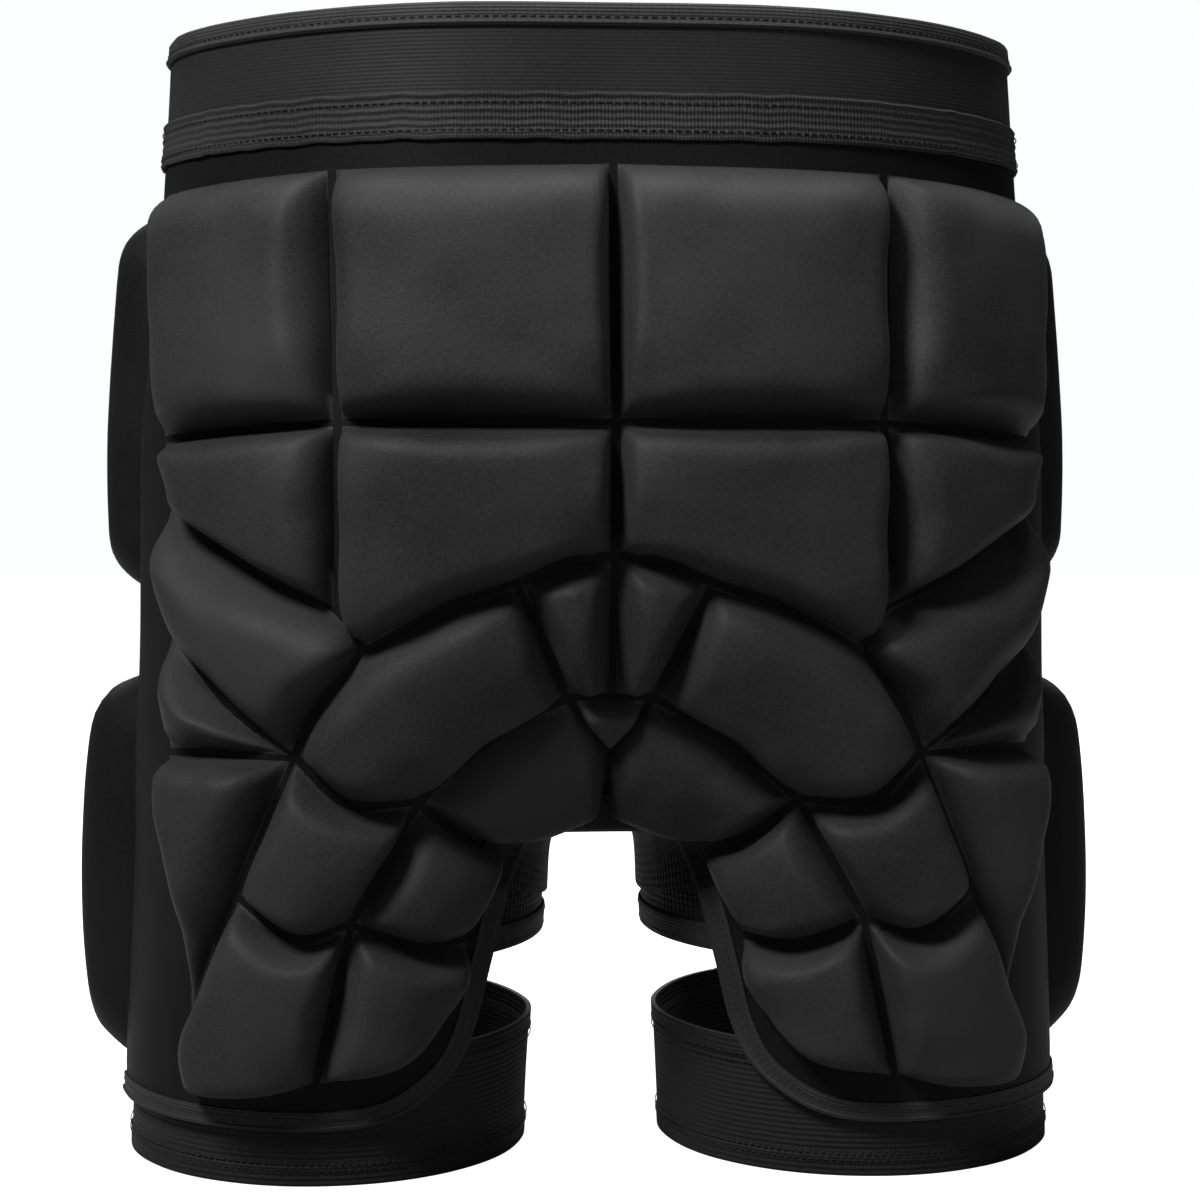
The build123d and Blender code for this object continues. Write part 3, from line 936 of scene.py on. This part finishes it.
def bandTape(section, start, end, columns, wavy=0.0):
    build = bmesh.new()
    section = section + [section[0]]
    rows = len(section) - 1

    def place(s, t):
        u = start + (end - start) * s
        z, lift = section[round(t * rows)]
        z += wavy * noise.noise(Vector((u / 9, 0, 5.0)))
        girth = sum((Vector(b) - Vector(a)).length for a, b in zip(section[:round(t * rows)], section[1:round(t * rows) + 1]))
        return around(u, z, lift + waveAt(u, z)), Vector((u, girth)) * mm

    gridOf(build, columns, rows, place)
    bmesh.ops.remove_doubles(build, verts=build.verts, dist=0.02 * mm)
    ends = [e for e in build.edges if len(e.link_faces) == 1]
    if ends:
        bmesh.ops.holes_fill(build, edges=ends, sides=0)
    return build


binding = foldedBinding(382.0, 390.0)
build = bandTape(binding, window[0], window[1], 240)
piece = finish("waist_binding_tape", build, fabrics["bindingTape"], replaces=["waist_binding"], slot="binding_tape")
build = bmesh.new()
for start, end in ((window[0], 0), (0, window[1])):
    path = [(start + (end - start) * n / 60, 384.9) for n in range(61)]
    sewRow(build, lambda u, z, lift: around(u, z, lift + waveAt(u, z)), path, 0, 1.0)
finish("waist_binding_stitches", build, fabrics["thread"], slot="binding_tape")

seamRibs = {"bottom": 345.5, "top": 360.5, "edge": 0.45}
seamSection = [
    (345.5, 0.1), (345.3, 1.0), (346.4, 1.6), (347.6, 1.1), (349.4, 1.5), (350.8, 1.15), (352.2, 1.3), (353.6, 1.05), (355.0, 1.5),
    (356.4, 1.1), (358.6, 1.2), (359.8, 1.5), (360.6, 0.9), (360.5, 0.1),
]
build = bandTape(seamSection, -0.5 * fullTurn, 0.5 * fullTurn, 340, wavy=0.5)
piece = finish("waist_seam_tape_cloth", build, fabrics["seamElastic"], replaces=["waist_seam_tape"], slot="seam_tape")
build = bmesh.new()
for height in (348.3, 357.2):
    for start, end in ((-0.5 * fullTurn, 0), (0, 0.5 * fullTurn)):
        path = [(start + (end - start) * n / 80, height) for n in range(81)]
        sewRow(build, around, path, 0, 1.5, 2.8)
finish("waist_seam_stitches", build, fabrics["thread"], slot="seam_tape")
print("waistband")

# ---- waist tab, its hook patch, and the loop tape that it closes on ----
tab = {"left": -69.7, "right": 30.0, "bottom": 361.0, "top": 389.2, "tail": 5.0, "corner": 6.0}


def frontRay(x, z):
    return Vector((x, 300, z)) * mm, Vector((0, -1, 0))


tabFace = nodeSurface("waist_tab", frontRay)
hookFace = nodeSurface("waist_hook_patch", frontRay)
loopFace = nodeSurface("waist_loop_tape", frontRay)


def tabPlace(s, t):
    # the tab runs on a little past its hinge, where it is sewn onto the waistband
    x = tab["left"] - tab["tail"] + (tab["right"] - tab["left"] + tab["tail"]) * s
    z = tab["bottom"] + (tab["top"] - tab["bottom"]) * t
    over = min(max((tab["left"] - x) / tab["tail"], 0.0), 1.0)
    spot = tabFace(max(x, tab["left"] + 1), z)
    if x < tab["left"] + 1:
        spot = tabFace(x, z) if over <= 0 else onForm(*frontRay(x, z), 0.9)
    return spot, Vector((x, z)) * mm


build = clothSheet(54, 16, tabPlace, 2.2)
piece = finish("waist_tab_cloth", build, fabrics["bandCloth"], body=None, replaces=["waist_tab"], slot="waistband_cloth")
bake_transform(piece)

tabEdge = foldedBinding(382.0, 390.0)


def tabBindingPlace(s, t):
    row = round(t * len(tabEdge))
    z, lift = (tabEdge + [tabEdge[0]])[row]
    x = tab["left"] + 0.6 + (tab["right"] - tab["left"] - 0.6) * s
    return tabFace(x, min(z, 388.8), lift) + Vector((0, 0, z - min(z, 388.8))) * mm, Vector((x, z - lift)) * mm


def closedTape(columns, rows, place):
    build = bmesh.new()
    gridOf(build, columns, rows, place)
    bmesh.ops.remove_doubles(build, verts=build.verts, dist=0.02 * mm)
    ends = [e for e in build.edges if len(e.link_faces) == 1]
    if ends:
        bmesh.ops.holes_fill(build, edges=ends, sides=0)
    return build


build = closedTape(46, len(tabEdge), tabBindingPlace)
piece = finish("waist_tab_binding_tape", build, fabrics["bindingTape"], "waist_tab", ["waist_tab_binding"], "binding_tape")


def hookPlace(s, t):
    x, z = -46.5 + 71 * s, 361.5 + 19.7 * t
    return hookFace(x, z, -0.1), Vector((x, z)) * mm


build = clothSheet(40, 12, hookPlace, 0.7, rounding=0.2)
piece = finish("waist_hook_cloth", build, fabrics["hookPile"], "waist_tab", ["waist_hook_patch"], "hook_pile")


def loopPlace(s, t):
    x, z = -51.5 + 111 * s, 361.4 + 19.9 * t
    return loopFace(x, z), Vector((x, z)) * mm


build = clothSheet(60, 12, loopPlace, 2.2)
piece = finish("waist_loop_tape_cloth", build, fabrics["loopPile"], replaces=["waist_loop_tape"], slot="loop_pile")

build = bmesh.new()
for x in (-66.0, -62.5):
    sewRow(build, tabFace, [(x, 362.5), (x, 372), (x, 381)], 0, 0.1)
for z in (363.2,):
    sewRow(build, tabFace, [(-60, z), (-20, z), (28, z)], 0, 0.1)
sewRow(build, tabFace, [(27.5, 364), (27.5, 372), (27.5, 381)], 0, 0.1)
sewRow(build, tabFace, [(-68, 384.9), (-20, 384.9), (29, 384.9)], 0, 1.0)
finish("waist_tab_stitches", build, fabrics["thread"], "waist_tab", slot="binding_tape")
print("waist tab")

# ---- thigh straps ----
strap = {"bottom": 0.0, "top": 46.0, "thickness": 2.4, "hem": 7.5, "hemRise": 0.5, "start": 118.0, "end": 416.0}
strapFace = nodeSurface("thigh_strap_right", thighRay)


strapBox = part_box("thigh_strap_right")
strapCentre = 0.5 * (strapBox[0] + strapBox[1]) / mm


def arcOf(degreesRound):
    # the tapes' ends are given as angles round the strap's own axis
    angle = degreesRound * pi / 180
    spot = Vector((strapCentre.x + 70 * cos(angle), strapCentre.y + 74 * sin(angle)))
    turned = atan2(spot.y - thigh["axis"][1], spot.x - thigh["axis"][0])
    turned += 2 * pi * round((angle - turned) / (2 * pi))
    return turned * thigh["scale"]


def strapHem(z):
    # the turned hems along both edges stand a little proud
    inside = min(z - strap["bottom"], strap["top"] - z)
    return strap["hemRise"] * min(max((strap["hem"] - inside) / 0.8, 0.0), 1.0) - strap["hemRise"]


hemRows = [0, 0.3, 1.5, 3.2, 5, 6.4, 6.9, 7.5, 8.4, 11, 14, 18, 23, 28, 32, 35, 37.6, 38.5, 39.1, 39.6, 41, 42.8, 44.5, 45.7, 46]


def strapPlaceOn(face, start, end):
    def place(s, t):
        z = hemRows[round(t * (len(hemRows) - 1))]
        arc = start + (end - start) * s
        wave = 0.5 * noise.noise(Vector((arc / 30, z / 30, 9.0))) - 0.25
        return face(arc, min(max(z, 0.4), 45.6), strapHem(z) + wave) * 1.0 + Vector((0, 0, z - min(max(z, 0.4), 45.6))) * mm, Vector((arc, z)) * mm

    return place


build = clothSheet(170, len(hemRows) - 1, strapPlaceOn(strapFace, arcOf(strap["start"]) + 0.3, arcOf(strap["end"]) - 0.3), strap["thickness"] - 0.4)
for piece in finishPair("thigh_strap_cloth", build, fabrics["strapElastic"], ["thigh_strap_*"], "strap_elastic"):
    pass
build = bmesh.new()
for z in (5.8, 8.3, 37.7, 40.2):
    ends = arcOf(strap["start"]), arcOf(strap["end"])
    path = [(ends[0] + (ends[1] - ends[0]) * n / 60, z) for n in range(61)]
    sewRow(build, strapFace, path, 0, 0.05, 2.6)
finishPair("thigh_strap_stitches", build, fabrics["thread"], slot="strap_elastic")

flapFace = nodeSurface("strap_flap_right", thighRay)
flap = {"start": 60.0, "end": 118.0, "tail": 5.0}
flapHinge = next(j for j in record["behaviour"]["joints"] if j["name"] == "strap_flap_right_peel")["pos_m"]
flapRoot = arcOf(flap["end"])
flapTip = arcOf(flap["start"]) + 0.3


def flapPlace(s, t):
    z = hemRows[round(t * (len(hemRows) - 1))]
    arc = flapTip + (flapRoot + flap["tail"] - flapTip) * s
    level = min(max(z, 0.4), 45.6)
    if arc > flapRoot - 1:
        lift = 0.9 * min(max((arc - flapRoot + 1) / 2.5, 0.0), 1.0)
        spot = flapFace(flapRoot - 1.2, level, strapHem(z)) if arc <= flapRoot else None
        spot = strapFace(max(arc, flapRoot + 0.8), level, strapHem(z) + lift) if spot is None else flapFace(arc - 0.6, level, strapHem(z) + lift)
    else:
        spot = flapFace(arc, level, strapHem(z))
    return spot + Vector((0, 0, z - level)) * mm, Vector((arc, z)) * mm


build = clothSheet(46, len(hemRows) - 1, flapPlace, strap["thickness"] - 0.5)
for side, shape in (("right", build), ("left", mirrored(build))):
    sign = 1 if side == "right" else -1
    piece = finish(f"strap_flap_cloth_{side}", shape, fabrics["strapElastic"], None, [f"strap_flap_{side}"], "strap_elastic")
    startArc, endArc = flapFace(flapRoot - 4, 23), strapFace(flapRoot + 3, 23)
    ends = [Vector((sign * v.x, v.y, v.z)) for v in (endArc, startArc)]
    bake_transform(piece)

hookArcs = arcOf(64.4), arcOf(95.6)
tapeArcs = arcOf(38.3), arcOf(99.7)
hookSurface = nodeSurface("strap_hook_patch_right", thighRay)
loopSurface = nodeSurface("strap_loop_tape_right", thighRay)


def strapHookPlace(s, t):
    arc, z = hookArcs[0] + (hookArcs[1] - hookArcs[0]) * s, 5.3 + 35.4 * t
    return hookSurface(arc, z, -0.1), Vector((arc, z)) * mm


def strapLoopPlace(s, t):
    arc, z = tapeArcs[0] + (tapeArcs[1] - tapeArcs[0]) * s, 0.4 + 45.2 * t
    return loopSurface(arc, z), Vector((arc, z)) * mm


build = clothSheet(26, 20, strapHookPlace, 0.7, rounding=0.2)
for piece in finishPair("strap_hook_cloth", build, fabrics["hookPile"], ["strap_hook_patch_*"], "hook_pile", body="strap_flap_*"):
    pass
build = clothSheet(50, 24, strapLoopPlace, 2.2)
for piece in finishPair("strap_loop_cloth", build, fabrics["loopPile"], ["strap_loop_tape_*"], "loop_pile"):
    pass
print("straps")

# ---- side pads ----
sidePads = {
    "hip_pad": {"bottom": 195, "top": 334, "corner": 24, "thickness": 17.5, "reach": 175.5, "wall": 14, "power": 2.1, "sag": 1.5},
    "thigh_pad": {"bottom": 27, "top": 173, "corner": 30, "thickness": 22.5, "reach": 185.5, "wall": 20, "power": 2.0, "sag": 8.5},
}
sidePadEdges = {"rear": 1.6, "front": 69.6, "columns": 40, "rows": 64}


def roundedGap(y, z, shape):
    # how far a spot lies inside the pad's rounded outline
    halfWidth = 0.5 * (sidePadEdges["front"] - sidePadEdges["rear"])
    halfHeight = 0.5 * (shape["top"] - shape["bottom"])
    away = Vector((abs(y - sidePadEdges["rear"] - halfWidth) - halfWidth + shape["corner"], abs(z - shape["bottom"] - halfHeight) - halfHeight + shape["corner"]))
    outside = Vector((max(away.x, 0.0), max(away.y, 0.0))).length
    return shape["corner"] - outside - min(max(away.x, away.y), 0.0)


def makeSidePad(shape):
    rearEdges = {}
    frontEdges = {}
    halfHeight = 0.5 * (shape["top"] - shape["bottom"])

    def spot(s, t):
        # the grid's square is pressed into the rounded outline
        a, b = 2 * s - 1, 2 * t - 1
        y = sidePadEdges["rear"] + 0.5 * (sidePadEdges["front"] - sidePadEdges["rear"]) * (1 + a)
        z = shape["bottom"] + halfHeight * (1 + b)
        for step in range(8):
            gap = roundedGap(y, z, shape)
            if gap >= 0 or max(abs(a), abs(b)) < 0.5:
                break
            centreY = 0.5 * (sidePadEdges["rear"] + sidePadEdges["front"])
            centre = Vector((min(max(y, sidePadEdges["rear"] + shape["corner"]), sidePadEdges["front"] - shape["corner"]), min(max(z, shape["bottom"] + shape["corner"]), shape["top"] - shape["corner"])))
            run = Vector((y, z)) - centre
            run *= (run.length + gap) / run.length
            y, z = centre.x + run.x, centre.y + run.y
        return y, z

    def lifted(s, t, high):
        y, z = spot(s, t)
        u = uOfSide(y, z)
        gap = max(roundedGap(y, z, shape), 0.0)
        if not high or min(s, t, 1 - s, 1 - t) < 1e-6:
            return around(u, z, -0.3), Vector((y, z)) * mm
        rise = 1 - (1 - min(gap / shape["wall"], 1.0)) ** shape["power"]
        along2 = (z - shape["bottom"] - halfHeight) / halfHeight
        lift = (shape["thickness"] - shape["sag"] * along2 * along2) * rise + noise.noise(Vector((y, z, 11.0)) / 23) * 0.5 * rise
        place = around(u, z, lift)
        limit = (shape["reach"] - 0.8 * shape["sag"] * along2 * along2) * mm
        if place.x > limit - 3 * mm:
            over = place.x - (limit - 3 * mm)
            place.x = limit - 3 * mm + 3 * mm * (1 - 2.718281828 ** (-over / (3 * mm)))
        return place, Vector((y, z)) * mm

    build = bmesh.new()
    gridOf(build, sidePadEdges["columns"], sidePadEdges["rows"], lambda s, t: lifted(s, t, True), ease=True)
    gridOf(build, sidePadEdges["columns"], sidePadEdges["rows"], lambda s, t: lifted(s, t, False), ease=True)
    bmesh.ops.remove_doubles(build, verts=build.verts, dist=0.02 * mm)
    return build


sideTable = {}


def uOfSide(y, z):
    # places along the side by their distance to the front, looked up from a few samples
    low = int(z // 6) * 6
    found = []
    for height in (low, low + 6):
        if height not in sideTable:
            sideTable[height] = [(around(u, height).y / mm, u) for u in range(200, 340, 4)]
        samples = sideTable[height]
        value = samples[0][1] if y < samples[0][0] else samples[-1][1]
        for (ya, ua), (yb, ub) in zip(samples, samples[1:]):
            if ya <= y <= yb:
                value = ua + (ub - ua) * (y - ya) / max(yb - ya, 1e-6)
        found.append(value)
    return found[0] + (found[1] - found[0]) * (z - low) / 6


for name, shape in sidePads.items():
    # the side pads' cloth is darkened as painted shade
    for piece in finishPair(f"{name}_cover", makeSidePad(shape), fabrics["sideKnitPaintedShade"], [f"{name}_*"], "side_pad_cover", smooth=1.4):
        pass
print("side pads")

bpy.data.meshes.remove(form)
floor = bpy.data.objects.new("floor", bpy.data.meshes.new("floor"))
floorBuild = bmesh.new()
bmesh.ops.create_grid(floorBuild, x_segments=1, y_segments=1, size=6)
floorBuild.to_mesh(floor.data)
floorBuild.free()
collection.objects.link(floor)
paper = bpy.data.materials.new("paper")
paper.use_nodes = True
paperLook = {"colour": 0.25, "roughness": 0.9, "glow": 1.0}  # the paper looks white, and throws little light up
paperShader = paper.node_tree.nodes["Principled BSDF"]
paperShader.inputs["Base Color"].default_value = (paperLook["colour"], paperLook["colour"], paperLook["colour"], 1)
paperShader.inputs["Roughness"].default_value = paperLook["roughness"]
paperShader.inputs["Specular IOR Level"].default_value = 0
paperShader.inputs["Emission Color"].default_value = (0.98, 0.99, 1.0, 1)
paperSeen = paper.node_tree.nodes.new("ShaderNodeLightPath")
paperGlow = paper.node_tree.nodes.new("ShaderNodeMath")
paperGlow.operation = "MULTIPLY"
paperGlow.inputs[1].default_value = paperLook["glow"]
paper.node_tree.links.new(paperSeen.outputs["Is Camera Ray"], paperGlow.inputs[0])
paper.node_tree.links.new(paperGlow.outputs[0], paperShader.inputs["Emission Strength"])
floor.data.materials.append(paper)

# ---- camera and light ----
view = {"distance": 0.95, "azimuth": -4 * pi / 180, "height": 0.2368, "aimHeight": 0.1931, "aimRight": 0.0036, "lens": 78.2}
axisY = 0.0196  # the middle of the body form
right = Vector((cos(view["azimuth"]), sin(view["azimuth"]), 0))
back = Vector((sin(view["azimuth"]), -cos(view["azimuth"]), 0))
aim = Vector((0, axisY, view["aimHeight"])) + right * view["aimRight"]
camera = bpy.data.objects.new("camera", bpy.data.cameras.new("camera"))
collection.objects.link(camera)
camera.location = Vector((0, axisY, view["height"])) + right * view["aimRight"] + back * view["distance"]
camera.rotation_euler = (aim - camera.location).to_track_quat("-Z", "Y").to_euler()
camera.data.lens = view["lens"]
bpy.context.scene.camera = camera

bpy.context.scene.view_settings.view_transform = "Standard"
world = bpy.data.worlds.new("studio")
bpy.context.scene.world = world
world.use_nodes = True
world.node_tree.nodes["Background"].inputs["Color"].default_value = (0.98, 0.99, 1.0, 1)
# the backdrop looks white, and gives less light than it shows
backdrop = {"shown": 1.0, "given": 0.04}
seen = world.node_tree.nodes.new("ShaderNodeLightPath")
amount = world.node_tree.nodes.new("ShaderNodeMath")
amount.operation = "MULTIPLY_ADD"
world.node_tree.links.new(seen.outputs["Is Camera Ray"], amount.inputs[0])
amount.inputs[1].default_value = backdrop["shown"] - backdrop["given"]
amount.inputs[2].default_value = backdrop["given"]
world.node_tree.links.new(amount.outputs[0], world.node_tree.nodes["Background"].inputs["Strength"])
lamps = {
    "key": {"place": (-0.85, -1.0, 1.5), "size": 0.45, "power": 52},
    "fill": {"place": (1.0, -1.6, 0.7), "size": 0.7, "power": 5},
    "top": {"place": (0.0, 0.1, 1.9), "size": 1.0, "power": 45},
    "front": {"place": (0.0, 1.3, 1.3), "size": 0.6, "power": 40},
}
for name, lamp in lamps.items():
    light = bpy.data.objects.new(name, bpy.data.lights.new(name, "AREA"))
    collection.objects.link(light)
    light.data.size = lamp["size"]
    light.data.energy = lamp["power"]
    light.location = lamp["place"]
    light.rotation_euler = (Vector((0, 0, 0.2)) - light.location).to_track_quat("-Z", "Y").to_euler()
